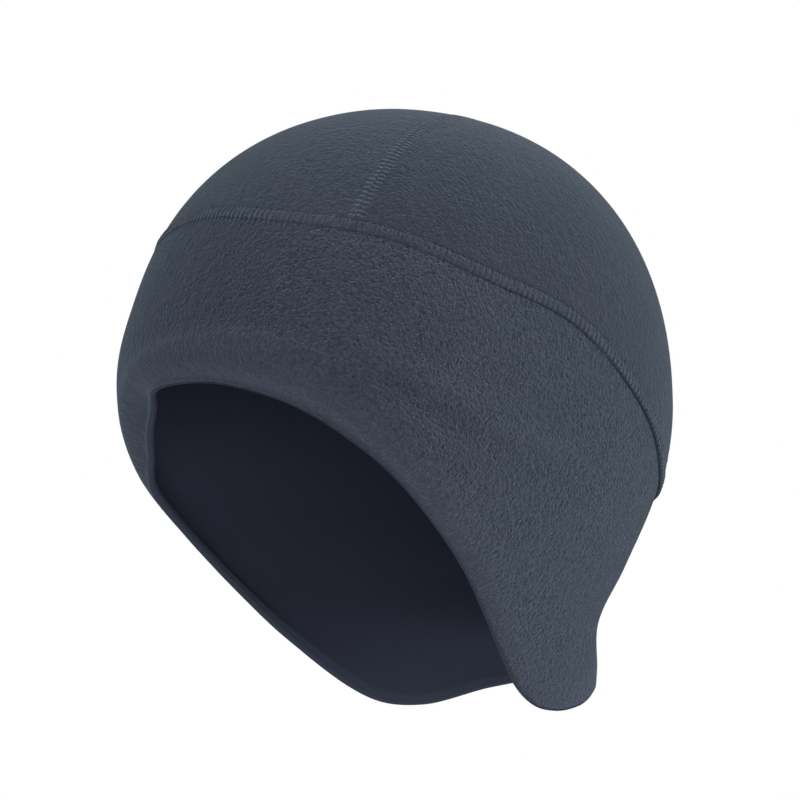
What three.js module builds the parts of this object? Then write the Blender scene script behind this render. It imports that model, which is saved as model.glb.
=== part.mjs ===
// A fleece beanie with ear flaps: a crown of four panels, one deep band and an inner lining.
// Millimetres and degrees. The front faces -Y, the wearer's left is +X, up is +Z.
// The origin is where the inside of the crown rests on top of a head.
import * as THREE from 'three';
import { mergeVertices } from 'three/addons/utils/BufferGeometryUtils.js';

// The worn form, measured on the outside of the fleece from the middle of the head at brow level.
const sideReach = 82.8;
const frontReach = 95.3;
const backReach = 101;
const crownRise = 101;
const crownSetback = 3;
const flapDrop = 108;
const levelPower = 2.2;
const domePower = 2.2;

// The layers and the air between them.
const fleeceThickness = 2.4;
const liningThickness = 1.0;
const layerGap = 0.4;
const seamGap = 0.3;
const liningSetback = 1.0;

// The seam between crown and band at the front.
const seamRise = 56;

// The four crown panels are sewn along seams at these angles from the front. They meet behind the
// top of the head, round a small gap.
const panelSeamAngle = 42;
const backSeamAngle = 148;
const panelColumns = 18;
const apexTilt = 26;
const apexGap = 1.2;

// The turned brow edge, the depth of its folds, and how far the crown overhangs the nape seam.
const browTurn = 14;
const foldRelief = 3;
const crownOverhang = 1.2;

// Level sections below the brow. depth is a share of flapDrop, and side, front and back are shares
// of sideReach, frontReach and backReach.
const sections = [
  { depth: 0.0, side: 1.0, front: 1.0, back: 1.0 },
  { depth: 0.28, side: 0.98, front: 1.02, back: 0.93 },
  { depth: 0.54, side: 0.86, front: 0.96, back: 0.805 },
  { depth: 0.72, side: 0.745, front: 0.96, back: 0.72 },
  { depth: 0.86, side: 0.675, front: 0.96, back: 0.75 },
  { depth: 1.0, side: 0.645, front: 0.96, back: 0.75 },
];

// The seam between crown and band. angle is measured from the front, and height above the brow is
// a share of seamRise.
const seam = [
  { angle: 0, height: 1.0 },
  { angle: 25, height: 0.92 },
  { angle: 50, height: 0.795 },
  { angle: 75, height: 0.56 },
  { angle: 100, height: 0.33 },
  { angle: 122, height: -0.085 },
  { angle: 140, height: -0.485 },
  { angle: 158, height: -0.61 },
  { angle: 180, height: -0.645 },
];

// The lower edge. angle is measured from the front, and left and right are depths below the brow
// on the wearer's two sides, as shares of flapDrop.
const hem = [
  { angle: 0, left: 0.0, right: 0.0 },
  { angle: 18, left: 0.025, right: 0.04 },
  { angle: 36, left: 0.12, right: 0.175 },
  { angle: 49, left: 0.255, right: 0.31 },
  { angle: 65, left: 0.48, right: 0.515 },
  { angle: 80, left: 0.68, right: 0.7 },
  { angle: 93, left: 0.83, right: 0.805 },
  { angle: 103, left: 0.93, right: 0.87 },
  { angle: 112, left: 0.98, right: 0.92 },
  { angle: 122, left: 0.995, right: 0.96 },
  { angle: 136, left: 0.98, right: 0.97 },
  { angle: 157, left: 0.915, right: 0.91 },
  { angle: 180, left: 0.875, right: 0.875 },
];

// Soft folds along the lower edge. middle and span are angles, rise is the height above the edge
// and spread the half width, both as shares of browTurn, and relief is a share of foldRelief.
const folds = [
  { middle: 0, span: 75, rise: 1.25, spread: 1.25, relief: 0.8 },
  { middle: -2, span: 76, rise: 0.0, spread: 0.3, relief: -1.4 },
  { middle: -29, span: 15, rise: 0.0, spread: 0.35, relief: -2.05 },
];

// How each piece is cut into rows, as shares of the way from the band's seam to its edge, or from
// the meeting point of the crown panels to the seam.
const bandRows = [0, 0.12, 0.26, 0.4, 0.54, 0.68, 0.8, 0.89, 0.95];
const crownRows = [0.14, 0.28, 0.42, 0.56, 0.7, 0.85, 1];

const fleece = new THREE.MeshStandardMaterial({ color: '#48515e', roughness: 0.95, metalness: 0 });
const bandFleece = new THREE.MeshStandardMaterial({ color: '#434b57', roughness: 0.95, metalness: 0 });
const liningKnit = new THREE.MeshStandardMaterial({ color: '#1f222b', roughness: 0.9, metalness: 0 });

const rad = THREE.MathUtils.degToRad;
const panels = [
  { name: 'crown_front', from: -panelSeamAngle, to: panelSeamAngle },
  { name: 'crown_left', from: panelSeamAngle, to: backSeamAngle },
  { name: 'crown_back', from: backSeamAngle, to: 360 - backSeamAngle },
  { name: 'crown_right', from: 360 - backSeamAngle, to: 360 - panelSeamAngle },
];

// The angles of all columns round the head, the same for the band, the crown and the lining.
const columnShares = Array.from({ length: panelColumns }, (_, j) => j / panelColumns);
const columnAngles = panels.flatMap(({ from, to }) => columnShares.map((s) => from + (to - from) * s));

// From brow level up to the inside of the crown.
const seatDepth = fleeceThickness + layerGap + liningThickness;
const browToSeat = crownRise - seatDepth;

// Smooth value of a column of a table at a place along its key, level at both ends of the table.
function tableValue(rows, key, column, place) {
  const last = rows.length - 1;
  const x = THREE.MathUtils.clamp(place, rows[0][key], rows[last][key]);
  let i = 0;
  while (i < last - 1 && rows[i + 1][key] < x) {
    i += 1;
  }
  const slope = (k) => {
    if (k === 0 || k === last) {
      return 0;
    }
    const before = rows[k][key] - rows[k - 1][key];
    const after = rows[k + 1][key] - rows[k][key];
    const fall = (rows[k][column] - rows[k - 1][column]) / before;
    const next = (rows[k + 1][column] - rows[k][column]) / after;
    return (fall * after + next * before) / (before + after);
  };
  const step = rows[i + 1][key] - rows[i][key];
  const t = (x - rows[i][key]) / step;
  const rise = rows[i + 1][column] - rows[i][column];
  const blend = t * t * (3 - 2 * t);
  const lean = step * t * (1 - t) * (slope(i) * (1 - t) - slope(i + 1) * t);
  return rows[i][column] + rise * blend + lean;
}

// Less than 1 inside the worn form, 1 on it. Above the brow the level sections close over in a
// dome that leans back, and below it they follow the table.
function formValue(p) {
  const up = Math.max(p.z, 0) / crownRise;
  const depth = Math.max(-p.z, 0) / flapDrop;
  const y = p.y - crownSetback * up * up;
  const across = Math.abs(p.x) / (sideReach * tableValue(sections, 'depth', 'side', depth));
  const along = y < 0
    ? -y / (frontReach * tableValue(sections, 'depth', 'front', depth))
    : y / (backReach * tableValue(sections, 'depth', 'back', depth));
  const level = (across ** levelPower + along ** levelPower) ** (1 / levelPower);
  return level ** domePower + up ** domePower;
}

// The point where a ray from inside the form leaves it.
function rayOut(from, direction) {
  let near = 0;
  let far = 2 * Math.max(sideReach, frontReach, backReach, crownRise);
  const p = new THREE.Vector3();
  for (let i = 0; i < 40; i += 1) {
    const middle = (near + far) / 2;
    p.copy(from).addScaledVector(direction, middle);
    if (formValue(p) < 1) {
      near = middle;
    } else {
      far = middle;
    }
  }
  return p.copy(from).addScaledVector(direction, near);
}

// The outward normal of the form, from how its value changes around a point.
function formNormal(p) {
  const step = 0.01;
  const change = (axis) => {
    const ahead = p.clone();
    const behind = p.clone();
    ahead[axis] += step;
    behind[axis] -= step;
    return formValue(ahead) - formValue(behind);
  };
  return new THREE.Vector3(change('x'), change('y'), change('z')).normalize();
}

// Angles run from the front towards the wearer's left, and negative ones to the right.
function signedAngle(angle) {
  return THREE.MathUtils.euclideanModulo(angle + 180, 360) - 180;
}

function hemHeight(angle) {
  const turned = signedAngle(angle);
  const side = turned < 0 ? 'right' : 'left';
  return -flapDrop * tableValue(hem, 'angle', side, Math.abs(turned));
}

function bandSeamHeight(angle) {
  return seamRise * tableValue(seam, 'angle', 'height', Math.abs(signedAngle(angle)));
}

// How far the surface stands out of the plain form at an angle and height: the folds along the
// lower edge, each a soft bump across its line that dies away at its ends.
function foldHeight(angle, z) {
  const turned = signedAngle(angle);
  const lift = Math.max(z - hemHeight(angle), 0);
  return folds.reduce((sum, fold) => {
    const offLine = (lift / browTurn - fold.rise) / fold.spread;
    const offMiddle = (turned - fold.middle) / fold.span;
    return sum + foldRelief * fold.relief * Math.exp(-(offLine ** 2) - offMiddle ** 4);
  }, 0);
}

// A place on the form: its point, its normal and the relief it has there.
function place(point, angle, overhang) {
  return { point, normal: formNormal(point), relief: foldHeight(angle, point.z) + overhang };
}

// A place on the band, at an angle round the head and a height.
function bandPlace(angle, z) {
  const a = rad(angle);
  const up = Math.max(z, 0) / crownRise;
  const axis = new THREE.Vector3(0, crownSetback * up * up, z);
  const outward = new THREE.Vector3(Math.sin(a), -Math.cos(a), 0);
  return place(rayOut(axis, outward), angle, 0);
}

const headMiddle = new THREE.Vector3(0, 0, 0);
const apexDirection = new THREE.Vector3(0, Math.sin(rad(apexTilt)), Math.cos(rad(apexTilt)));
const apex = rayOut(headMiddle, apexDirection);

// The direction from the middle of the head to the band's seam.
function seamDirection(angle) {
  return bandPlace(angle, bandSeamHeight(angle)).point.normalize();
}

// The length of the arc from the apex to the band's seam.
function seamDistance(angle) {
  return apex.length() * apexDirection.angleTo(seamDirection(angle));
}

// A place on the crown, a share of the way along the arc from the apex to the band's seam. The
// overhang grows towards the nape and fades away up the crown.
function crownPlace(angle, share, overhangs) {
  const edge = seamDirection(angle);
  const opening = apexDirection.angleTo(edge);
  const direction = apexDirection.clone().multiplyScalar(Math.sin((1 - share) * opening))
    .addScaledVector(edge, Math.sin(share * opening)).normalize();
  const towardsNape = (1 - Math.cos(rad(angle))) / 2;
  const overhang = overhangs ? crownOverhang * towardsNape * share ** 3 : 0;
  return place(rayOut(headMiddle, direction), angle, overhang);
}

// The point at a depth below the outer surface of a place.
function layer(spot, depth) {
  return spot.point.clone().addScaledVector(spot.normal, spot.relief - depth);
}

// Two triangles of a four-sided face, split along its shorter diagonal so that layers that lie on
// each other are split alike. A triangle with two corners in one place is left out.
function addFace(positions, a, b, c, d) {
  const tiny = 1e-6;
  const straight = a.distanceTo(c) <= b.distanceTo(d);
  const triangles = straight ? [[a, b, c], [a, c, d]] : [[a, b, d], [b, c, d]];
  triangles.forEach((corners) => {
    const open = corners.every((p, i) => p.distanceTo(corners[(i + 1) % 3]) > tiny);
    if (open) {
      corners.forEach((p) => positions.push(p.x, p.y, p.z));
    }
  });
}

// A closed solid from columns of points. Each column is a loop or a line, the columns go round the
// head or end in caps, and the finished solid is moved from brow level to the head seat.
function solidFromColumns(name, material, profiles, { round, looped }) {
  const positions = [];
  const spans = round ? profiles.length : profiles.length - 1;
  for (let j = 0; j < spans; j += 1) {
    const here = profiles[j];
    const next = profiles[(j + 1) % profiles.length];
    const steps = looped ? here.length : here.length - 1;
    for (let i = 0; i < steps; i += 1) {
      const k = (i + 1) % here.length;
      addFace(positions, here[i], here[k], next[k], next[i]);
    }
  }
  if (!round) {
    const first = profiles[0];
    const end = profiles[profiles.length - 1];
    const last = first.length - 1;
    for (let i = 0; i < (last - 1) / 2; i += 1) {
      addFace(positions, first[i], first[last - i], first[last - i - 1], first[i + 1]);
      addFace(positions, end[i + 1], end[last - i - 1], end[last - i], end[i]);
    }
  }
  const loose = new THREE.BufferGeometry();
  loose.setAttribute('position', new THREE.Float32BufferAttribute(positions, 3));
  loose.translate(0, 0, -browToSeat);
  const geometry = mergeVertices(loose, 1e-5);
  geometry.computeVertexNormals();
  const mesh = new THREE.Mesh(geometry, material);
  mesh.name = name;
  return mesh;
}

// The rounded fold at the lower edge, half a thickness below the last row.
function foldedEdge(above, edge, thickness) {
  const middle = layer(edge, thickness / 2);
  const down = middle.clone().sub(layer(above, thickness / 2)).normalize();
  return middle.addScaledVector(down, thickness / 2);
}

// The heights of the rows in a column of the band. The last is where the edge starts to turn, and
// the one above it is where the lining ends.
function bandHeights(angle) {
  const top = bandSeamHeight(angle);
  const turn = hemHeight(angle) + fleeceThickness / 2;
  const heights = bandRows.map((share) => top + (turn - top) * share);
  return [...heights, turn + liningSetback, turn];
}

function makeBand() {
  const profiles = columnAngles.map((angle) => {
    const spots = bandHeights(angle).map((z) => bandPlace(angle, z));
    const top = spots[0];
    const below = spots[1].point.clone().sub(top.point).normalize();
    top.point.addScaledVector(below, seamGap);
    const outer = spots.map((spot) => layer(spot, 0));
    const inner = spots.map((spot) => layer(spot, fleeceThickness)).reverse();
    const edge = foldedEdge(spots[spots.length - 2], spots[spots.length - 1], fleeceThickness);
    return [...outer, edge, ...inner];
  });
  return solidFromColumns('ear_band', bandFleece, profiles, { round: true, looped: true });
}

// A crown panel between two seams that climb to the apex. Each row stops half a seam gap short of
// both seams, whatever its distance from the apex.
function makePanel({ name, from, to }) {
  const rows = [0, ...crownRows].map((share) => {
    const reach = crownPlace((from + to) / 2, share, false).point.distanceTo(apex);
    return { share, inset: THREE.MathUtils.radToDeg(seamGap / 2 / Math.max(reach, apexGap)) };
  });
  const profiles = [...columnShares, 1].map((across) => {
    const spots = rows.map(({ share, inset }) => {
      const angle = from + inset + (to - from - 2 * inset) * across;
      return crownPlace(angle, Math.max(share, apexGap / seamDistance(angle)), true);
    });
    const outer = spots.map((spot) => layer(spot, 0));
    const inner = spots.map((spot) => layer(spot, fleeceThickness)).reverse();
    return [...outer, ...inner];
  });
  return solidFromColumns(name, fleece, profiles, { round: false, looped: true });
}

// The lining follows the fleece all the way from the crown to just inside the turned edge.
function makeLining() {
  const outerDepth = fleeceThickness + layerGap;
  const innerDepth = outerDepth + liningThickness;
  const top = { point: apex, normal: formNormal(apex), relief: 0 };
  const profiles = columnAngles.map((angle) => {
    const crownSpots = crownRows.map((share) => crownPlace(angle, share, false));
    const bandSpots = bandHeights(angle).slice(1, -1).map((z) => bandPlace(angle, z));
    const spots = [top, ...crownSpots, ...bandSpots];
    const outer = spots.map((spot) => layer(spot, outerDepth));
    const inner = spots.map((spot) => layer(spot, innerDepth)).reverse();
    return [...outer, ...inner];
  });
  return solidFromColumns('lining', liningKnit, profiles, { round: true, looped: false });
}

const hat = new THREE.Group();
panels.forEach((panel) => hat.add(makePanel(panel)));
hat.add(makeBand());
hat.add(makeLining());

export default hat;
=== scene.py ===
import math

import bpy
import numpy as np
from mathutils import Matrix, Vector


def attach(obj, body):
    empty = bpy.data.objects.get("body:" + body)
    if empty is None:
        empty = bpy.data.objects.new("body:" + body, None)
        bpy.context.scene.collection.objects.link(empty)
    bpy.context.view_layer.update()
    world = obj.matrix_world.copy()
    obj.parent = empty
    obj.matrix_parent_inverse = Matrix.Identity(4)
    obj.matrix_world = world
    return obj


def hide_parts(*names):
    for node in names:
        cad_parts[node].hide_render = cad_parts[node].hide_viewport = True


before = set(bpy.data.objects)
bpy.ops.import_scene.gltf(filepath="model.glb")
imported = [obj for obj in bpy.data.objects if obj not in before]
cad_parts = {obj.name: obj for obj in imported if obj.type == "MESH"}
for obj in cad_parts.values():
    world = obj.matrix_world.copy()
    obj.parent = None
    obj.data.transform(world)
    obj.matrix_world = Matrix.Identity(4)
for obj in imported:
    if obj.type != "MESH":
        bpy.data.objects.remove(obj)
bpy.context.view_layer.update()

# The ear band. One deep strip of brushed polyester fleece runs all round under the crown. Its
# lower edge arches over the brow, drops into a flap over each ear and crosses the nape. The edge
# is turned in, so it is round and soft and shows no stitching.

# The worn form, on the outside of the fleece: its reaches from the middle of the hat at brow level,
# and the powers that square its level sections and its dome.
side_reach = 0.0828
front_reach = 0.0953
back_reach = 0.101
crown_rise = 0.101
crown_setback = 0.003
flap_drop = 0.108
level_power = 2.2
dome_power = 2.2

# The layers, the air between them, the height of the turned brow edge and of a fold.
fleece_thickness = 0.0024
lining_thickness = 0.0010
layer_gap = 0.0004
brow_turn = 0.014
fold_relief = 0.003
brow_to_seat = crown_rise - fleece_thickness - layer_gap - lining_thickness

# The seam between crown and band: degrees from the front, and heights above the brow as shares of
# its rise at the front.
seam_rise = 0.056
seam = {
    "angle": (0, 25, 50, 75, 100, 122, 140, 158, 180),
    "height": (1.0, 0.92, 0.795, 0.56, 0.33, -0.085, -0.485, -0.61, -0.645),
}

# Level sections below the brow, as shares of flap_drop and of the three reaches.
sections = {
    "depth": (0.0, 0.28, 0.54, 0.72, 0.86, 1.0),
    "side": (1.0, 0.98, 0.86, 0.745, 0.675, 0.645),
    "front": (1.0, 1.02, 0.96, 0.96, 0.96, 0.96),
    "back": (1.0, 0.93, 0.805, 0.72, 0.75, 0.75),
}

# The lower edge: degrees from the front, and depths below the brow on the wearer's left and right,
# as shares of flap_drop.
hem = {
    "angle": (0, 18, 36, 49, 65, 80, 93, 103, 112, 122, 136, 157, 180),
    "left": (0, 0.025, 0.12, 0.255, 0.48, 0.68, 0.83, 0.93, 0.98, 0.995, 0.98, 0.915, 0.875),
    "right": (0, 0.04, 0.175, 0.31, 0.515, 0.7, 0.805, 0.87, 0.92, 0.96, 0.97, 0.91, 0.875),
}

# Soft folds along the lower edge: middle and span in degrees, rise above the edge and half width
# as shares of brow_turn, and relief as a share of fold_relief.
folds = (
    {"middle": 0, "span": 75, "rise": 1.25, "spread": 1.25, "relief": 0.8},
    {"middle": -2, "span": 76, "rise": 0.0, "spread": 0.3, "relief": -1.4},
    {"middle": -29, "span": 15, "rise": 0.0, "spread": 0.35, "relief": -2.05},
)

# Smaller folds of the worn cloth, which climb away from the edge: slant is the rise for a degree.
small_folds = (
    {"middle": 8, "span": 36, "rise": 0.9, "slant": 0.016, "spread": 0.22, "relief": 0.35},
    {"middle": 76, "span": 30, "rise": 3.8, "slant": 0.055, "spread": 0.45, "relief": 0.3},
    {"middle": 76, "span": 30, "rise": 3.2, "slant": 0.06, "spread": 0.4, "relief": -0.3},
)


def column_at(table, key, column, place):
    """A table's column between its rows: on each span a cubic that meets both rows at the slope
    weighted from the spans beside them, level at the ends of the table."""
    x = np.array(table[key], float)
    y = np.array(table[column], float)
    gap = np.diff(x)
    rate = np.diff(y) / gap
    slope = np.zeros(len(x))
    slope[1:-1] = (rate[:-1] * gap[1:] + rate[1:] * gap[:-1]) / (gap[:-1] + gap[1:])
    place = np.clip(place, x[0], x[-1])
    i = np.clip(np.searchsorted(x, place, side="right") - 1, 0, len(gap) - 1)
    t = (place - x[i]) / gap[i]
    lean = gap[i] * t * (1 - t) * (slope[i] * (1 - t) - slope[i + 1] * t)
    return y[i] + (y[i + 1] - y[i]) * t * t * (3 - 2 * t) + lean


def form_value(point):
    """Less than 1 inside the worn form and 1 on it: the level section's superellipse, whose power
    is added to that of the height above the brow as a share of the crown's rise."""
    up = np.maximum(point[..., 2], 0) / crown_rise
    depth = np.maximum(-point[..., 2], 0) / flap_drop
    y = point[..., 1] - crown_setback * up**2
    front = front_reach * column_at(sections, "depth", "front", depth)
    back = back_reach * column_at(sections, "depth", "back", depth)
    across = np.abs(point[..., 0]) / (side_reach * column_at(sections, "depth", "side", depth))
    along = np.abs(y) / np.where(y < 0, front, back)
    level = (across**level_power + along**level_power) ** (1 / level_power)
    return level**dome_power + up**dome_power


def ray_out(start, direction):
    """Where rays from inside the form leave it: the distance is halved between inside and outside
    40 times."""
    near = np.zeros(direction.shape[:-1])
    far = np.full(direction.shape[:-1], 2 * max(side_reach, front_reach, back_reach, crown_rise))
    for _ in range(40):
        middle = (near + far) / 2
        inside = form_value(start + direction * middle[..., None]) < 1
        near = np.where(inside, middle, near)
        far = np.where(inside, far, middle)
    return start + direction * near[..., None]


def unit(vectors):
    """Vectors divided by their lengths."""
    return vectors / np.linalg.norm(vectors, axis=-1, keepdims=True)


def form_normal(point):
    """Outward normal of the form: the change of its value along X, Y and Z."""
    step = 1e-5
    change = [form_value(point + step * axis) - form_value(point - step * axis) for axis in np.eye(3)]
    return unit(np.stack(change, -1))


def band_place(angle, z):
    """Point and normal of the form where a level ray leaves the hat's axis at an angle from the
    front and a height."""
    a = np.radians(angle)
    up = np.maximum(z, 0) / crown_rise
    axis = np.stack([0 * z, crown_setback * up**2, z], -1)
    outward = np.stack([np.sin(a), -np.cos(a), 0 * a], -1)
    point = ray_out(axis, outward)
    return point, form_normal(point)


def hem_height(angle):
    """Height of the lower edge, from the table of the side that the angle is on."""
    turned = (angle + 180) % 360 - 180
    left = column_at(hem, "angle", "left", np.abs(turned))
    right = column_at(hem, "angle", "right", np.abs(turned))
    return -flap_drop * np.where(turned < 0, right, left)


def band_seam_height(angle):
    """Height of the seam between crown and band, the same on both sides."""
    turned = (angle + 180) % 360 - 180
    return seam_rise * column_at(seam, "angle", "height", np.abs(turned))


def fold_height(angle, z, chosen=folds + small_folds):
    """How far the chosen folds lift the surface: for each, a bell across its line times a flatter
    bell along it."""
    turned = (angle + 180) % 360 - 180
    lift = np.maximum(z - hem_height(angle), 0)
    height = np.zeros(np.shape(z))
    for fold in chosen:
        line = fold["rise"] + fold.get("slant", 0) * (turned - fold["middle"])
        off_line = (lift / brow_turn - line) / fold["spread"]
        off_middle = (turned - fold["middle"]) / fold["span"]
        height = height + fold_relief * fold["relief"] * np.exp(-(off_line**2) - off_middle**4)
    return height


def seam_frame(line):
    """For a closed line of points on the form: the direction across it in the surface, which is its
    tangent crossed with the form's normal and points down, and the length run along it."""
    tangent = unit(np.roll(line, -1, 0) - np.roll(line, 1, 0))
    step = np.linalg.norm(np.roll(line, -1, 0) - line, axis=-1)
    run = np.concatenate([[0], np.cumsum(step)])
    return np.cross(tangent, form_normal(line)), run


# How the edges of two pieces roll into the seam between them, the gap that is left where they are
# pressed together, how far a seam draws the cloth beside it, and the length of a stitch.
edge_roll = 0.00045
crease_gap = 0.00012
sewn_reach = 0.0018
thread_pitch = 0.0021


def edge_drop(off, roll):
    """How far a rolled edge drops at a distance from the seam: a quarter circle."""
    share = np.clip(1 - off / roll, 0, 1)
    return roll * (1 - np.sqrt(1 - share**2))


# How fine the mesh is: columns round the band, rows down it, round its turned edge and up inside
# it, and the distances in metres of the close rows that draw the rolled edge beside a seam.
band_columns = 560
fine_rows = np.array([0.0, 0.06, 0.16, 0.3, 0.48, 0.68, 0.9, 1.2, 1.6, 2.1, 2.7, 3.4]) * 0.001
band_rows = 96
turn_rows = 10
inner_rows = 30
least_slope = 0.3

band_angle = 180 + np.arange(band_columns) * 360 / band_columns
seam_line, _ = band_place(band_angle, band_seam_height(band_angle))
seam_down, seam_run = seam_frame(seam_line)
stitch_count = round(seam_run[-1] / thread_pitch)


def stitches_at(angle):
    """How many stitches of the band's seam lie between the nape and an angle, counted on without a
    jump where the angle passes the nape."""
    turned = angle - band_angle[0]
    run = np.interp(turned % 360, np.append(band_angle - band_angle[0], 360), seam_run)
    return (run / seam_run[-1] + np.floor(turned / 360)) * stitch_count


def band_grid(rows):
    """Angles and heights of rows that run from the seam to where the edge turns: rows are given as
    distances below the seam, and then even shares of what is left."""
    top = band_seam_height(band_angle)
    turn = hem_height(band_angle) + fleece_thickness / 2
    slope = np.maximum(-seam_down[:, 2], least_slope)
    fine = top[:, None] - (crease_gap / 2 + fine_rows) * slope[:, None]
    share = (np.arange(rows) + 1) / rows
    rest = fine[:, -1:] + (turn[:, None] - fine[:, -1:]) * share
    z = np.concatenate([fine, rest], 1)
    return np.broadcast_to(band_angle[:, None], z.shape), z


def grid_faces(columns, rows, close_columns, close_rows):
    """Four-sided faces between neighbouring points of a grid, which may close on itself."""
    j = np.arange(columns if close_columns else columns - 1)[:, None]
    i = np.arange(rows if close_rows else rows - 1)[None, :]
    here = j * rows
    beside = (j + 1) % columns * rows
    below = (i + 1) % rows
    return np.stack([here + i, here + below, beside + below, beside + i], -1).reshape(-1, 4)


def make_piece(name, points, faces, material, values=None, texture=None):
    """A smooth mesh in metres from arrays of points and of faces, moved from brow level to the seat
    inside the crown, with values at its points and a texture place for each where they are given."""
    points = points.reshape(-1, 3) - [0, 0, brow_to_seat]
    mesh = bpy.data.meshes.new(name)
    corners = np.concatenate([part.reshape(-1) for part in faces])
    sizes = np.concatenate([np.full(len(part), part.shape[1]) for part in faces])
    mesh.vertices.add(len(points))
    mesh.vertices.foreach_set("co", points.astype(np.float32).ravel())
    mesh.loops.add(len(corners))
    mesh.loops.foreach_set("vertex_index", corners.astype(np.int32))
    mesh.polygons.add(len(sizes))
    mesh.polygons.foreach_set("loop_start", (np.cumsum(sizes) - sizes).astype(np.int32))
    mesh.polygons.foreach_set("use_smooth", np.ones(len(sizes), bool))
    mesh.update(calc_edges=True)
    mesh.validate()
    for key, value in (values or {}).items():
        layer = mesh.attributes.new(key, "FLOAT", "POINT")
        layer.data.foreach_set("value", np.asarray(value, np.float32).ravel())
    if texture is not None:
        layer = mesh.uv_layers.new(name="cloth")
        layer.data.foreach_set("uv", texture.reshape(-1, 2)[corners].astype(np.float32).ravel())
    mesh.materials.append(material)
    piece = bpy.data.objects.new(name, mesh)
    bpy.context.scene.collection.objects.link(piece)
    return piece


def add_node(tree, kind, settings=None, links=None):
    """Adds a node. Settings are its properties or the values of its inputs, and links are outputs
    of other nodes for its inputs, both by the input's name or number."""
    node = tree.nodes.new(kind)
    for key, value in (settings or {}).items():
        if isinstance(key, str) and hasattr(node, key):
            setattr(node, key, value)
        else:
            node.inputs[key].default_value = value
    for key, source in (links or {}).items():
        tree.links.new(source, node.inputs[key])
    return node


def linear(colour):
    """An sRGB hex colour as linear red, green and blue, with full opacity."""
    parts = [int(colour[i : i + 2], 16) / 255 for i in (1, 3, 5)]
    return [c / 12.92 if c <= 0.04045 else ((c + 0.055) / 1.055) ** 2.4 for c in parts] + [1]


# Brushed polyester microfleece. The raised nap clumps into short worms a little over 1 mm across,
# which catch the light on their tips, over fibres that are drawn far coarser than the real ones so
# that they show. The gaps between the clumps are coloured with painted shade and their tips with a
# painted highlight. Low lumps and wide patches come from wear.
clump_size = 0.0011
fibre_size = 0.00036
lump_size = 0.0032
lump_share = 0.5
fibre_share = 0.28
patch_size = 0.018
clump_relief = 0.00105
pucker_relief = 0.26
# How far painted shade darkens the colour along a row of needle holes.
painted_row_darkening = 0.5
grain_contrast = 1.1


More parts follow.
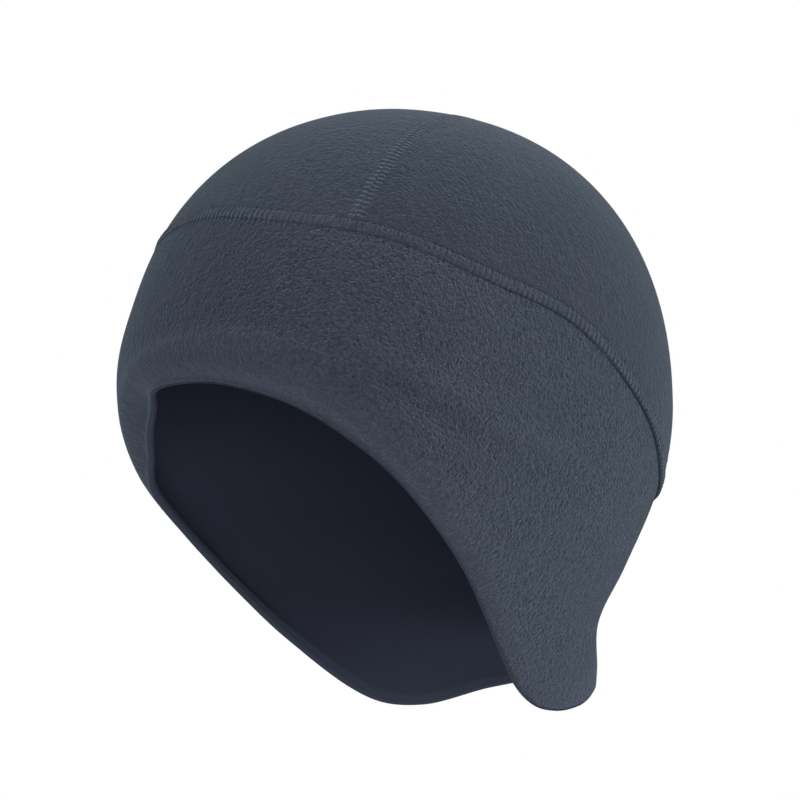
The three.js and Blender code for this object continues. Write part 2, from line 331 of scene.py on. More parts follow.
def microfleece(name, shaded_gap_colour, lit_tip_colour):
    """Matt fleece with a soft pale rim, where the light comes through the tips of the nap. Its
    colour and bump follow the same clumps, flattened where the nap value of the piece is low, and
    a seam's stitches pucker it. The colour holds painted shade in the gaps between the clumps and a
    painted highlight on their tips, is multiplied by the piece's painted light and shade, and takes
    painted shade along rows of needle holes."""
    material = bpy.data.materials.new(name)
    material.use_nodes = True
    tree = material.node_tree
    shader = tree.nodes["Principled BSDF"]
    place = add_node(tree, "ShaderNodeTexCoord").outputs["Object"]
    nap = add_node(tree, "ShaderNodeAttribute", {"attribute_name": "nap"}).outputs["Fac"]
    clumps = add_node(tree, "ShaderNodeTexNoise", {"Scale": 1 / clump_size, "Detail": 2.5,
                      "Roughness": 0.55, "Distortion": 0.9}, {"Vector": place})
    fibres = add_node(tree, "ShaderNodeTexNoise", {"Scale": 1 / fibre_size, "Detail": 2,
                      "Roughness": 0.6}, {"Vector": place})
    patches = add_node(tree, "ShaderNodeTexNoise", {"Scale": 1 / patch_size, "Detail": 3},
                       {"Vector": place})
    raised = add_node(tree, "ShaderNodeMapRange", {"From Min": 0.3, "From Max": 0.7},
                      {"Value": clumps.outputs["Fac"]})
    napped = add_node(tree, "ShaderNodeMath", {"operation": "MULTIPLY"},
                      {0: raised.outputs["Result"], 1: nap})
    lumps = add_node(tree, "ShaderNodeTexNoise", {"Scale": 1 / lump_size, "Detail": 1},
                     {"Vector": place})
    lumped = add_node(tree, "ShaderNodeMath", {"operation": "MULTIPLY_ADD", 1: lump_share},
                      {0: lumps.outputs["Fac"], 2: napped.outputs["Value"]})
    height = add_node(tree, "ShaderNodeMath", {"operation": "MULTIPLY_ADD", 1: fibre_share},
                      {0: fibres.outputs["Fac"], 2: lumped.outputs["Value"]})
    sewn = add_node(tree, "ShaderNodeAttribute", {"attribute_name": "sewn"}).outputs["Fac"]
    stitches = add_node(tree, "ShaderNodeAttribute", {"attribute_name": "stitches"}).outputs["Fac"]
    turns = add_node(tree, "ShaderNodeMath", {"operation": "MULTIPLY", 1: 2 * math.pi}, {0: stitches})
    wave = add_node(tree, "ShaderNodeMath", {"operation": "SINE"}, {0: turns.outputs["Value"]})
    pucker = add_node(tree, "ShaderNodeMath", {"operation": "MULTIPLY"},
                      {0: wave.outputs["Value"], 1: sewn})
    sewn_height = add_node(tree, "ShaderNodeMath", {"operation": "MULTIPLY_ADD", 1: pucker_relief},
                           {0: pucker.outputs["Value"], 2: height.outputs["Value"]})
    bump = add_node(tree, "ShaderNodeBump", {"Strength": 1.0, "Distance": clump_relief},
                    {"Height": sewn_height.outputs["Value"]})
    grain = add_node(tree, "ShaderNodeMath", {"operation": "MULTIPLY_ADD", 1: 0.45},
                     {0: fibres.outputs["Fac"], 2: raised.outputs["Result"]})
    contrast = add_node(tree, "ShaderNodeMath", {"operation": "MULTIPLY", 1: grain_contrast}, {0: nap})
    uneven = add_node(tree, "ShaderNodeMath", {"operation": "SUBTRACT", 1: 0.7},
                      {0: grain.outputs["Value"]})
    # Painted highlight on the tips of the clumps and painted shade in the gaps between them.
    lit_tips = add_node(tree, "ShaderNodeMath", {"operation": "MULTIPLY_ADD", 2: 0.5, "use_clamp": True},
                    {0: uneven.outputs["Value"], 1: contrast.outputs["Value"]})
    mixed = add_node(tree, "ShaderNodeMix", {"data_type": "RGBA"},
                     {0: lit_tips.outputs["Value"]})
    mixed.inputs[6].default_value = linear(shaded_gap_colour)
    mixed.inputs[7].default_value = linear(lit_tip_colour)
    shade = add_node(tree, "ShaderNodeMapRange", {"To Min": 0.9, "To Max": 1.1},
                     {"Value": patches.outputs["Fac"]})
    # Painted shade along rows of needle holes, which darkens the colour.
    painted_row_shade = add_node(tree, "ShaderNodeAttribute", {"attribute_name": "painted_row_shade"}).outputs["Fac"]
    # The piece's painted light and shade, multiplied into the colour together with the wear patches.
    painted_light = add_node(tree, "ShaderNodeAttribute", {"attribute_name": "painted_light"}).outputs["Fac"]
    wear_and_painted_light = add_node(tree, "ShaderNodeMath", {"operation": "MULTIPLY"},
                      {0: shade.outputs["Result"], 1: painted_light})
    shaded = add_node(tree, "ShaderNodeMath", {"operation": "MULTIPLY_ADD", 1: -painted_row_darkening},
                      {0: painted_row_shade, 2: wear_and_painted_light.outputs["Value"]})
    colour = add_node(tree, "ShaderNodeHueSaturation", {},
                      {"Color": mixed.outputs[2], "Value": shaded.outputs["Value"]})
    roughness = add_node(tree, "ShaderNodeMapRange", {"To Min": 1.0, "To Max": 0.86},
                         {"Value": clumps.outputs["Fac"]})
    tree.links.new(colour.outputs["Color"], shader.inputs["Base Color"])
    tree.links.new(roughness.outputs["Result"], shader.inputs["Roughness"])
    tree.links.new(bump.outputs["Normal"], shader.inputs["Normal"])
    shader.inputs["IOR"].default_value = 1.45
    shader.inputs["Specular IOR Level"].default_value = 0.25
    shader.inputs["Sheen Weight"].default_value = 0.8
    shader.inputs["Sheen Roughness"].default_value = 0.3
    shader.inputs["Sheen Tint"].default_value = linear("#9fb4c8")
    return material


# The darker colour is painted shade in the gaps of the nap, the lighter one a painted highlight on its
# tips.
band_fleece = microfleece("slate_microfleece_band", "#333845", "#4f5665")

# The nap is pressed down along the turned edge and stands up from this far above it. It is also
# lower over the brow and fuller towards the back, by these shares.
nap_rise = 0.020
edge_nap = 0.38
standing_nap = 0.68
brow_pressing = 0.62
back_fullness = 0.65


def band_nap(angle, z):
    """How far the nap stands: it rises smoothly from the edge over nap_rise, and a flat bell over
    the brow and a ramp towards the back lower and raise it."""
    lift = np.clip((z - hem_height(angle)) / nap_rise, 0, 1)
    turned = (angle + 180) % 360 - 180
    front = np.exp(-(((turned + 12) / 40) ** 4))
    back = np.clip(np.abs(turned) / 60 - 1.2, 0, 1)
    standing = edge_nap + standing_nap * lift * lift * (3 - 2 * lift)
    return standing * (1 - brow_pressing * front + back_fullness * back)


# Painted light and shade on the band, multiplied into its colour, where 1 is the cloth's own colour,
# and how much painted shade over the brow, painted light along the edge and towards the back, and a
# painted highlight on the crest of a small fold add to it or take from it.
plain_painted_light = 0.95
brow_painted_shade = 0.12
edge_painted_light = 0.12
low_edge_painted_light = 0.2
back_painted_light = 0.14
crest_painted_highlight = 0.35


def band_painted_light(angle, z):
    """Painted light and shade on the band: painted shade above the brow, painted light along the
    edge and towards the back, and a painted highlight where a small fold rises. Each place is a flat
    bell."""
    turned = (angle + 180) % 360 - 180
    lift = np.clip((z - hem_height(angle)) / brow_turn - 0.7, 0, 1)
    brow = np.exp(-(((turned + 15) / 45) ** 4))
    edge = np.exp(-(((turned - 42) / 34) ** 4))
    back = np.clip(np.abs(turned) / 60 - 1, 0, 1)
    crest = fold_height(angle, z, small_folds) / fold_relief
    painted_light = plain_painted_light - brow * brow_painted_shade * (1 + lift)
    painted_light = painted_light + edge * (edge_painted_light + low_edge_painted_light * (1 - lift))
    return painted_light + back_painted_light * back + crest_painted_highlight * crest


angle, z = band_grid(band_rows)
point, normal = band_place(angle, z)
off = np.einsum("jik,jk->ji", point - seam_line[:, None], seam_down)
relief = fold_height(angle, z) - edge_drop(np.maximum(off, 0), edge_roll)
outer = point + normal * relief[..., None]
outer_nap = band_nap(angle, z)

share = np.linspace(0, 1, inner_rows)
inner_z = z[:, :1] + (z[:, -1:] - z[:, :1]) * share
inner_angle = np.broadcast_to(band_angle[:, None], inner_z.shape)
inner_point, inner_normal = band_place(inner_angle, inner_z)
inner_relief = fold_height(inner_angle, inner_z) - fleece_thickness
inner = (inner_point + inner_normal * inner_relief[..., None])[:, ::-1]

# The turned edge is half a round rod along the lower edge, between the two faces.
rod = (outer[:, -1] + inner[:, 0]) / 2
rod_normal = unit(outer[:, -1] - inner[:, 0])
rod_tangent = unit(np.roll(rod, -1, 0) - np.roll(rod, 1, 0))
rod_down = unit(np.cross(rod_tangent, rod_normal))
rod_radius = np.linalg.norm(outer[:, -1] - inner[:, 0], axis=-1)[:, None, None] / 2
turn_angle = np.linspace(0, math.pi, turn_rows + 2)[1:-1][None, :, None]
edge = rod[:, None] + rod_radius * (
    np.cos(turn_angle) * rod_normal[:, None] + np.sin(turn_angle) * rod_down[:, None]
)
rings = np.concatenate([outer, edge, inner], 1)
nap = np.full(rings.shape[:2], outer_nap[:, -1:])
nap[:, : outer.shape[1]] = outer_nap
# Painted light and shade on the outer face; none inside or round the turned edge.
painted_light = np.ones(rings.shape[:2])
painted_light[:, : outer.shape[1]] = band_painted_light(angle, z)
sewn = np.zeros(rings.shape[:2])
sewn[:, : outer.shape[1]] = np.exp(-((off / sewn_reach) ** 2))
stitches = np.broadcast_to(stitches_at(band_angle)[:, None], sewn.shape)
band = make_piece(
    "ear_band_fleece",
    rings,
    [grid_faces(band_columns, rings.shape[1], True, True)],
    band_fleece,
    {"nap": nap, "painted_light": painted_light, "sewn": sewn, "stitches": stitches},
)
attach(band, "root")
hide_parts("ear_band")

# The crown. Four panels of the same fleece are sewn together along seams that climb from the band
# and meet behind the top of the head. Each seam is laid flat and covered with thread, so that a low
# pad runs beside it as far as a row of needle holes.

# The angles are in degrees, the naps, the painted light of the panels and the painted highlights
# along the pads are shares, and the rest is in metres.
panel_seam_angle = 42
back_seam_angle = 148
apex_tilt = 26
apex_gap = 0.0003
crown_overhang = 0.0012
pad_width = 0.0044
panel_pad_width = 0.0023
panel_pad_share = 0.4
panel_edge_roll = 0.0003
pad_relief = 0.00034
pad_slope = 0.00022
pad_fade = 0.0006
row_groove = 0.00055
row_width = 0.0004
row_shade_width = 0.0005
crown_nap = 0.5
# Painted highlights along the raised pads of the band's seam and of the panel seams.
band_pad_painted_highlight = 0.1
side_pad_painted_highlight = 0.22
side_row_share = 0.6

# How fine a panel's mesh is: rows from the apex down, columns across, the steps beside the close
# rows, how far those may squeeze where a panel is narrow, and how rows spread near the apex.
panel_rows = 84
panel_columns = 84
side_step = 0.0006
edge_step = 0.0004
squeeze_width = 2.4
top_spread = 0.9

hat_middle = np.zeros(3)
apex_direction = np.array([0, math.sin(math.radians(apex_tilt)), math.cos(math.radians(apex_tilt))])
apex = ray_out(hat_middle, apex_direction)

# How long a panel is from the apex to the band, on average: its chord, and its arc as a share of it.
arc_share = 1.1
mean_climb = np.linalg.norm(seam_line - apex, axis=-1).mean() * arc_share
# The darker colour is painted shade in the gaps of the nap, the lighter one a painted highlight on its
# tips.
crown_fleece = microfleece("slate_microfleece_crown", "#343946", "#4e5664")


def crown_place(angle, share):
    """Point and normal of the form, a share of the way along the arc from the apex to the band's
    seam: the direction turns evenly from one to the other."""
    edge = unit(band_place(angle, band_seam_height(angle))[0])
    opening = np.arccos(edge @ apex_direction)[..., None]
    turn = share[..., None] * opening
    direction = apex_direction * np.sin(opening - turn) + edge * np.sin(turn)
    point = ray_out(hat_middle, unit(direction))
    return point, form_normal(point)


def pad_height(off, width):
    """Relief of a covered seam at a distance from it: a low plateau that slopes off before its row
    of needle holes, and a bell-shaped groove along the row."""
    plateau = pad_relief / (1 + np.exp((off - width + row_width) / pad_slope))
    return plateau - row_groove * np.exp(-(((off - width) / row_width) ** 2))


def row_shade(off, width):
    """Painted shade along a row of needle holes: a bell across the row."""
    return np.exp(-(((off - width) / row_shade_width) ** 2))


def overhang_at(angle, share):
    """How far the crown's edge stands over the band: it grows towards the nape and the edge."""
    return crown_overhang * (1 - np.cos(np.radians(angle))) / 2 * share**3


def side_seam(seam_at, share):
    """A seam between two panels, from the apex down: its points, normals, the direction across it
    towards larger angles, and the length run along it."""
    line, normal = crown_place(np.full(share.shape, float(seam_at)), share)
    tangent = unit(np.gradient(line, axis=0))
    step = np.linalg.norm(np.diff(line, axis=0), axis=-1)
    return line, normal, unit(np.cross(normal, tangent)), np.concatenate([[0], np.cumsum(step)])


def across_panel(rows, start, end):
    """Shares of the way across a panel for each row: fine steps beside both seams, squeezed where
    the panel is narrow, and even steps between them."""
    middle, _ = crown_place(np.full(rows.shape, (start + end) / 2), rows)
    width = 0
    for seam_at in (start, end):
        width = width + np.linalg.norm(side_seam(seam_at, rows)[0] - middle, axis=-1)
    near = np.concatenate([fine_rows, fine_rows[-1] + (np.arange(4) + 1) * side_step])
    near = (near + crease_gap / 2)[:, None] / np.maximum(width, squeeze_width * near[-1])[None, :]
    between = np.linspace(0, 1, panel_columns)[1:-1, None]
    return np.concatenate([near, near[-1:] + (1 - 2 * near[-1:]) * between, 1 - near[::-1]])


def make_panel(name, node, start, end, first_painted_light, last_painted_light):
    """One crown panel: its outer face with rolled edges and seam pads, its inner face, and the cut
    edges between them. Its painted light and shade runs from one seam to the other, with painted
    highlights along the seam pads and painted shade along the needle rows."""
    near = np.concatenate([fine_rows, fine_rows[-1] + (np.arange(8) + 1) * edge_step])
    fine = 1 - near[::-1] / mean_climb
    rows = np.concatenate([np.linspace(0, fine[0], panel_rows)[:-1] ** top_spread, fine])
    rows = np.maximum(rows, apex_gap / mean_climb)
    across = across_panel(rows, start, end)
    share = np.broadcast_to(rows, across.shape)
    angle = start + (end - start) * across
    point, normal = crown_place(angle, share)
    edge = angle[:, -1]
    edge_line, _ = band_place(edge, band_seam_height(edge))
    edge_down = [np.interp(edge, band_angle, seam_down[:, k], period=360) for k in range(3)]
    edge_down = np.stack(edge_down, -1)
    to_band = np.maximum(-np.einsum("jik,jk->ji", point - edge_line[:, None], edge_down), 0)
    side = []
    for seam_at in (start, end):
        line, _, sideways, run = side_seam(seam_at, rows)
        side.append(np.abs(np.einsum("jik,ik->ji", point - line, sideways)))
    to_side = np.minimum(*side)
    band_pad = pad_height(to_band, pad_width)
    side_pad = panel_pad_share * pad_height(to_side, panel_pad_width)
    side_pad = side_pad * np.clip(to_band / pad_width, 0, 1)
    drop = np.maximum(edge_drop(to_band, edge_roll), edge_drop(to_side, panel_edge_roll))
    overhang = overhang_at(angle, share)
    outer = point + normal * (overhang + np.maximum(band_pad, side_pad) - drop)[..., None]
    inner = point + normal * (overhang - fleece_thickness)[..., None]
    loop = np.concatenate([outer, inner[:, ::-1]], 1)
    columns, rounds = loop.shape[:2]
    i = np.arange(outer.shape[1] - 1)
    first = np.stack([i, rounds - 1 - i, rounds - 2 - i, i + 1], -1)
    last = first[:, ::-1] + (columns - 1) * rounds
    on_band_pad = np.clip((pad_width + row_width - to_band) / pad_fade, 0, 1)
    on_side_pad = np.clip((panel_pad_width + row_width - to_side) / pad_fade, 0, 1) * (1 - on_band_pad)
    # Painted shade along the needle rows beside the band's seam and beside the panel seams.
    band_row_shade = row_shade(to_band, pad_width)
    side_row_shade = side_row_share * row_shade(to_side, panel_pad_width)
    painted_light = first_painted_light + (last_painted_light - first_painted_light) * across
    stitches = np.where(on_band_pad > 0, stitches_at(edge)[:, None], run / thread_pitch)
    flat = np.zeros(inner.shape[:2])
    values = {
        "nap": np.full(share.shape, crown_nap),
        # Painted light and shade across the panel, with painted highlights along the seam pads.
        "painted_light": painted_light + band_pad_painted_highlight * on_band_pad + side_pad_painted_highlight * on_side_pad,
        # Painted shade along the needle rows.
        "painted_row_shade": np.maximum(band_row_shade, side_row_shade),
        "sewn": np.maximum(on_band_pad, on_side_pad),
        "stitches": stitches,
    }
    values = {key: np.concatenate([value, flat], 1) for key, value in values.items()}
    piece = make_piece(name, loop, [grid_faces(columns, rounds, False, True), first, last], crown_fleece,
                       values)
    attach(piece, "root")
    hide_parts(node)


# The last two numbers of each panel are its painted light and shade at one seam and at the other.
panels = {
    "crown_front": (-panel_seam_angle, panel_seam_angle, 0.95, 1.12),
    "crown_left": (panel_seam_angle, back_seam_angle, 0.94, 0.82),
    "crown_back": (back_seam_angle, 360 - back_seam_angle, 1.0, 1.0),
    "crown_right": (360 - back_seam_angle, 360 - panel_seam_angle, 0.9, 1.0),
}
for node, (start, end, first_painted_light, last_painted_light) in panels.items():
    make_panel(node + "_fleece", node, start, end, first_painted_light, last_painted_light)

# The thread. The seams are covered by machine in slate polyester thread, 0.32 mm thick. Along the
# band's seam short stitches lie in the needle row and cover threads cross from it to the crease.
# The panel seams have a row of small loops on each side of the crease.
thread_radius = 0.00016
ply_turn = 0.0005
thread_sides = 5
strand_rings = 6
loop_sway = 0.0007
first_loop = 0.006
seam_shares = np.linspace(0.01, 1, 120)
row_share = 0.86
stitch_lift = 0.00012
stitch_sink = 0.00006
cover_lean = 0.3
cover_sway = 0.12
cover_start = 0.0001
cover_end = 0.0012
cover_stray = 0.0004


def unevenness(number):
    """How far a machine's stitch is off its place, from its number in the row: the sum of two sines
    that don't fall into step."""
    return np.sin(number * 2.4) + np.sin(number * 0.73)


def strand_mesh(paths, normals):
    """Closed tubes along many paths at once: rings of points round each path, turned so that their
    first axis is the cloth's normal, with ends drawn in and capped."""
    strands, rings = paths.shape[:2]
    tangent = unit(np.gradient(paths, axis=1))
    side = unit(np.cross(tangent, normals))
    lift = unit(np.cross(side, tangent))
    turn = (np.arange(thread_sides) * 2 * math.pi / thread_sides)[:, None]
    swell = np.sin(np.linspace(0.06, math.pi - 0.06, rings)) ** 0.3
    radius = (thread_radius * swell)[None, :, None, None]
    circle = np.cos(turn) * lift[:, :, None] + np.sin(turn) * side[:, :, None]
    points = paths[:, :, None] + radius * circle
    first = np.arange(strands)[:, None, None] * rings * thread_sides
    k = np.arange(rings - 1)[:, None] * thread_sides
    i = np.arange(thread_sides)[None]
    j = (i + 1) % thread_sides
    quads = np.stack([k + i, k + j, k + thread_sides + j, k + thread_sides + i], -1).reshape(-1, 4)
    caps = np.arange(thread_sides)
    ends = np.stack([caps[::-1], caps + (rings - 1) * thread_sides])
    return points, [
        (first + quads[None]).reshape(-1, 4),
        (first + ends[None]).reshape(-1, thread_sides),
    ]


def on_band_seam(run, off):
    """Points on the crown at lengths run along the band's seam and at distances above it, on top of
    the pad, with their normals."""
    run = run % seam_run[-1]
    closed_line = np.concatenate([seam_line, seam_line[:1]])
    closed_down = np.concatenate([seam_down, seam_down[:1]])
    line = np.stack([np.interp(run, seam_run, closed_line[:, k]) for k in range(3)], -1)
    down = np.stack([np.interp(run, seam_run, closed_down[:, k]) for k in range(3)], -1)
    point = ray_out(hat_middle, unit(line - down * off[..., None]))
    normal = form_normal(point)
    round_hat = np.degrees(np.arctan2(point[..., 0], -point[..., 1]))
    lift = overhang_at(round_hat, 1 - off / mean_climb)
    lift = lift + pad_height(off, pad_width) - edge_drop(off, edge_roll)
    return point + normal * lift[..., None], normal


def on_panel_seam(seam_at, run, off):
    """Points on the crown at lengths run down a panel seam and at distances across it, on top of
    its pad, with their normals."""
    line, _, sideways, length = side_seam(seam_at, seam_shares)
    at = np.stack([np.interp(run, length, line[:, k]) for k in range(3)], -1)
    across = np.stack([np.interp(run, length, sideways[:, k]) for k in range(3)], -1)
    point = ray_out(hat_middle, unit(at + across * off[..., None]))
    normal = form_normal(point)
    lift = overhang_at(seam_at, run / length[-1])
    lift = lift + panel_pad_share * pad_height(np.abs(off), panel_pad_width)
    return point + normal * lift[..., None], normal


def sewing_thread(name, colour):
    """Twisted polyester thread, a little smoother than the fleece: the turns of its plies, 0.5 mm
    apart, show as an uneven light and dark."""
    material = bpy.data.materials.new(name)
    material.use_nodes = True
    tree = material.node_tree
    shader = tree.nodes["Principled BSDF"]
    place = add_node(tree, "ShaderNodeTexCoord").outputs["Object"]
    twist = add_node(tree, "ShaderNodeTexNoise", {"Scale": 1 / ply_turn, "Detail": 1.5},
                     {"Vector": place})
    shade = add_node(tree, "ShaderNodeMapRange", {"To Min": 0.8, "To Max": 1.2},
                     {"Value": twist.outputs["Fac"]})
    tone = add_node(tree, "ShaderNodeHueSaturation", {"Color": linear(colour)},
                    {"Value": shade.outputs["Result"]})
    tree.links.new(tone.outputs["Color"], shader.inputs["Base Color"])
    shader.inputs["Roughness"].default_value = 0.65
    shader.inputs["Sheen Weight"].default_value = 0.2
    return material


slate_thread = sewing_thread("slate_polyester_thread", "#525d6a")
t = np.linspace(0, 1, strand_rings)
arch = 4 * t * (1 - t)

# Along the band's seam: one stitch in the row and two cover threads for each thread_pitch. The
# cover threads start just past the row and end short of the crease, each at its own distance.
pitch = seam_run[-1] / stitch_count
number = np.arange(stitch_count)[:, None]
start = number * pitch
uneven = unevenness(number)
row_run = start + pitch * (0.5 + (t - 0.5) * row_share)
row = on_band_seam(row_run, np.full(row_run.shape, pad_width))
reach = pad_width - cover_end - cover_stray * uneven
out_run = start + pitch * (cover_lean * t + cover_sway * uneven)
out = on_band_seam(out_run, pad_width + cover_start - reach * t)
back_run = start + pitch * (0.5 + cover_lean * t - cover_sway * uneven)
back = on_band_seam(back_run, pad_width + cover_start - reach * (1 - t))
paths = np.concatenate([part[0] for part in (row, out, back)])
normals = np.concatenate([part[1] for part in (row, out, back)])
lift = stitch_lift * (2 * arch - 1) - stitch_sink * np.tile(1 + uneven, (3, 1))
points, faces = strand_mesh(paths + normals * lift[..., None], normals)
thread = make_piece("band_seam_thread", points, faces, slate_thread)
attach(thread, "root")

# Along the panel seams: on each side of the crease a thread sways across the row and back for each
# thread_pitch.
paths = []
normals = []
for seam_at in (panel_seam_angle, back_seam_angle, 360 - back_seam_angle, 360 - panel_seam_angle):
    length = side_seam(seam_at, seam_shares)[3][-1] - pad_width
    loops = int((length - first_loop) / thread_pitch)
    start = first_loop + np.arange(loops)[:, None] * thread_pitch
    for side in (-1, 1):
        for way in (0, 1):
            run = start + thread_pitch * 0.5 * (way + t)
            sway = loop_sway * (1 - 2 * t) * (1 - 2 * way)
            part = on_panel_seam(seam_at, run, side * (panel_pad_width + sway) + 0 * run)
            paths.append(part[0])
            normals.append(part[1])
paths = np.concatenate(paths)
normals = np.concatenate(normals)
number = np.arange(len(paths))[:, None]
lift = stitch_lift * (2 * arch - 1) - stitch_sink * (1 + unevenness(number))
points, faces = strand_mesh(paths + normals * lift[..., None], normals)
thread = make_piece("panel_seam_thread", points, faces, slate_thread)
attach(thread, "root")

# The lining. A thin, smooth, dark navy knit follows the whole inside, from the top of the crown to
# the turned edge, and is caught in along that edge.
lining_crown_rows = 60
lining_band_rows = 60
lining_setback = 0.0010
wale_pitch = 0.0009
course_pitch = 0.0007


def jersey(name, valley_colour, loop_colour):
    """Smooth jersey: upright wales of loops, drawn from how far round and how far down a place is
    on the cloth, too fine and dark to read from far off."""
    material = bpy.data.materials.new(name)
    material.use_nodes = True
    tree = material.node_tree
    shader = tree.nodes["Principled BSDF"]
    place = add_node(tree, "ShaderNodeUVMap", {"uv_map": "cloth"}).outputs["UV"]
    parts = add_node(tree, "ShaderNodeSeparateXYZ", {}, {"Vector": place})
    course = add_node(tree, "ShaderNodeMath", {"operation": "MULTIPLY", 1: 2 * math.pi / course_pitch},
                      {0: parts.outputs["Y"]})
    waver = add_node(tree, "ShaderNodeMath", {"operation": "SINE"}, {0: course.outputs["Value"]})
    wale = add_node(tree, "ShaderNodeMath", {"operation": "MULTIPLY_ADD", 1: 2 * math.pi / wale_pitch},
                    {0: parts.outputs["X"], 2: waver.outputs["Value"]})
    ridge = add_node(tree, "ShaderNodeMath", {"operation": "COSINE"}, {0: wale.outputs["Value"]})
    height = add_node(tree, "ShaderNodeMapRange", {"From Min": -1.0}, {"Value": ridge.outputs["Value"]})
    bump = add_node(tree, "ShaderNodeBump", {"Strength": 0.5, "Distance": 0.0001},
                    {"Height": height.outputs["Result"]})
    mixed = add_node(tree, "ShaderNodeMix", {"data_type": "RGBA"}, {0: height.outputs["Result"]})
    mixed.inputs[6].default_value = linear(valley_colour)
    mixed.inputs[7].default_value = linear(loop_colour)
    tree.links.new(mixed.outputs[2], shader.inputs["Base Color"])
    tree.links.new(bump.outputs["Normal"], shader.inputs["Normal"])
    shader.inputs["Roughness"].default_value = 0.9
    shader.inputs["Specular IOR Level"].default_value = 0.15
    return material


lining_knit = jersey("navy_jersey_lining", "#3b4050", "#43495a")

# The knit's wrap round the turned edge: where it starts and ends, as angles from the outside, its
# rows, and its distance from the fleece and thickness in metres.
wrap_start = math.pi
wrap_end = math.radians(72)
wrap_rows = 14
wrap_gap = 0.00012
wrap_thickness = 0.00035

# Every second column of the band, so that the knit keeps to the turned edge that it is caught in.
angle = band_angle[::2]
lining_columns = len(angle)
share = np.linspace(0.002, 1, lining_crown_rows)
crown_point, crown_normal = crown_place(
    np.broadcast_to(angle[:, None], (lining_columns, lining_crown_rows)),
    np.broadcast_to(share[None], (lining_columns, lining_crown_rows)),
)
top = band_seam_height(angle)
turn = hem_height(angle) + fleece_thickness / 2 + lining_setback
share = np.linspace(0, 1, lining_band_rows + 1)[1:]
z = top[:, None] + (turn - top)[:, None] * share
around = np.broadcast_to(angle[:, None], z.shape)
band_point, band_normal = band_place(around, z)
lift = np.concatenate([np.zeros(crown_point.shape[:2]), fold_height(around, z)], 1)
point = np.concatenate([crown_point, band_point], 1)
normal = np.concatenate([crown_normal, band_normal], 1)
outer = point + normal * (lift - fleece_thickness - layer_gap)[..., None]
inner = point + normal * (lift - fleece_thickness - layer_gap - lining_thickness)[..., None]

# Below the last row the knit follows the turned edge round to its outer half, thinning as it goes.
wrap_turn = np.linspace(wrap_start, wrap_end, wrap_rows)[None, :, None]
around_edge = np.cos(wrap_turn) * rod_normal[::2, None] + np.sin(wrap_turn) * rod_down[::2, None]
near = rod[::2, None] + (rod_radius[::2] + wrap_gap) * around_edge
far = rod[::2, None] + (rod_radius[::2] + wrap_gap + wrap_thickness) * around_edge
loop = np.concatenate([outer, near, far[:, ::-1], inner[:, ::-1]], 1)
down = np.concatenate([np.zeros((lining_columns, 1)),
                       np.cumsum(np.linalg.norm(np.diff(loop, axis=1), axis=-1), axis=1)], 1)
half = loop.shape[1] // 2
down[:, half:] = down[:, half - 1 :: -1][:, : loop.shape[1] - half]
round_run = np.broadcast_to(seam_run[:-1:2, None], down.shape)
texture = np.stack([round_run, down], -1)
lining = make_piece("lining_knit_shell", loop, [grid_faces(lining_columns, loop.shape[1], True, True)],
                    lining_knit, texture=texture)
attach(lining, "root")
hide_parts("lining")

# The camera, at the photograph's angle: the wearer's front left, a little below the brow. The
# middle of the hat at brow level falls 5.5 pixels left of the picture's middle.
view_azimuth = math.radians(52.6)
view_elevation = math.radians(-5.7)
view_distance = 1.16
picture_width = 800
middle_pixel = 394.5
pixels_per_metre = 2873
sensor = 36.0

back = Vector((
    math.sin(view_azimuth) * math.cos(view_elevation),
    -math.cos(view_azimuth) * math.cos(view_elevation),
    math.sin(view_elevation),
))
camera_data = bpy.data.cameras.new("camera")
camera_data.sensor_width = sensor
camera_data.lens = pixels_per_metre * view_distance / picture_width * sensor
camera_data.shift_x = (picture_width / 2 - middle_pixel) / picture_width
camera = bpy.data.objects.new("camera", camera_data)
camera.location = Vector((0, 0, -brow_to_seat)) + back * view_distance
camera.rotation_euler = (-back).to_track_quat("-Z", "Y").to_euler()
bpy.context.scene.collection.objects.link(camera)
bpy.context.scene.camera = camera

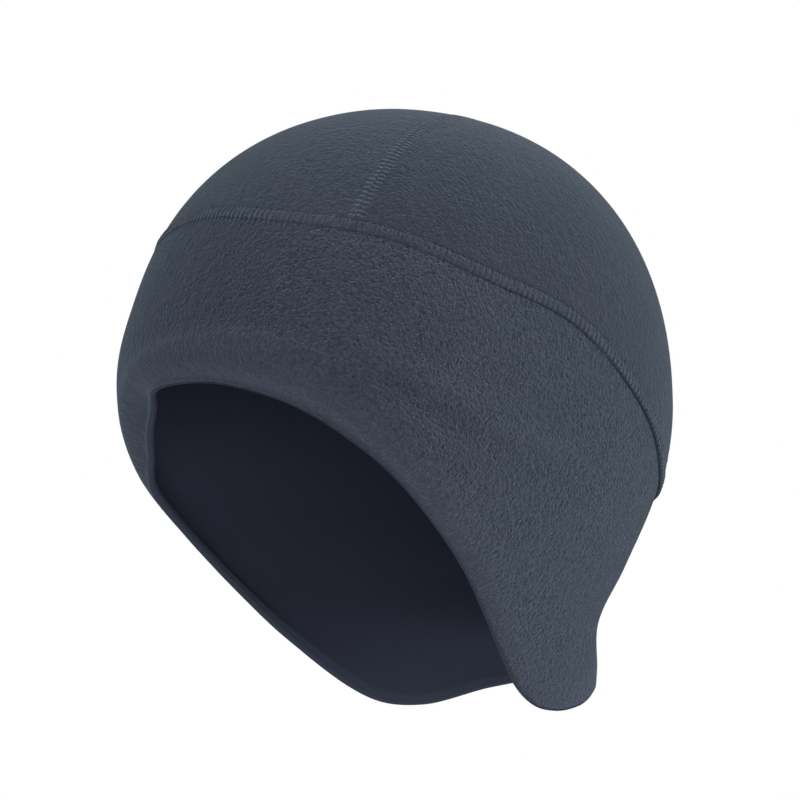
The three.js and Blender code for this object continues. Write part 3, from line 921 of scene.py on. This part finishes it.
# The studio: white all round, so that the hat stands before plain white, a plain pale floor some
# way below the flaps and out of the main view, and large soft lamps on all sides.
floor_drop = 0.36
floor_radius = 2.2
floor_sides = 96
room_light = 0.28
world = bpy.data.worlds.new("white_studio")
world.use_nodes = True
background = world.node_tree.nodes["Background"]
background.inputs["Color"].default_value = (1, 1, 1, 1)
seen = add_node(world.node_tree, "ShaderNodeLightPath").outputs["Is Camera Ray"]
strength = add_node(world.node_tree, "ShaderNodeMapRange", {"To Min": room_light, "To Max": 1.0},
                    {"Value": seen})
world.node_tree.links.new(strength.outputs["Result"], background.inputs["Strength"])
bpy.context.scene.world = world
bpy.context.scene.view_settings.view_transform = "Standard"

# Matt white emulsion paint, which looks pale and even and shows no shine.
paint = bpy.data.materials.new("pale_floor_paint")
paint.use_nodes = True
paint.node_tree.nodes["Principled BSDF"].inputs["Base Color"].default_value = linear("#fafafa")
paint.node_tree.nodes["Principled BSDF"].inputs["Roughness"].default_value = 0.8
turn = np.linspace(0, 2 * math.pi, floor_sides, endpoint=False)
rim = np.stack([floor_radius * np.cos(turn), floor_radius * np.sin(turn), 0 * turn - floor_drop], -1)
floor = make_piece("floor", rim + [0, 0, brow_to_seat], [np.arange(floor_sides)[None]], paint)

lamp_distance = 1.6


def add_lamp(name, azimuth, elevation, size, power):
    """A square soft lamp aimed at the middle of the hat, placed by its angles in degrees. Its size
    is in metres and its power in watts."""
    a = math.radians(azimuth)
    e = math.radians(elevation)
    towards = Vector((math.sin(a) * math.cos(e), -math.cos(a) * math.cos(e), math.sin(e)))
    data = bpy.data.lights.new(name, "AREA")
    data.size = size
    data.energy = power
    lamp = bpy.data.objects.new(name, data)
    lamp.location = Vector((0, 0, -brow_to_seat)) + towards * lamp_distance
    lamp.rotation_euler = towards.to_track_quat("Z", "Y").to_euler()
    bpy.context.scene.collection.objects.link(lamp)


lamps = {
    "side_lamp": {"azimuth": 118, "elevation": 18, "size": 1.2, "power": 8.7},
    "top_lamp": {"azimuth": -20, "elevation": 60, "size": 1.2, "power": 3.4},
    "front_lamp": {"azimuth": 52, "elevation": -8, "size": 1.0, "power": 9.6},
    "back_lamp": {"azimuth": 225, "elevation": 38, "size": 1.2, "power": 8.5},
}
for name, lamp in lamps.items():
    add_lamp(name, lamp["azimuth"], lamp["elevation"], lamp["size"], lamp["power"])
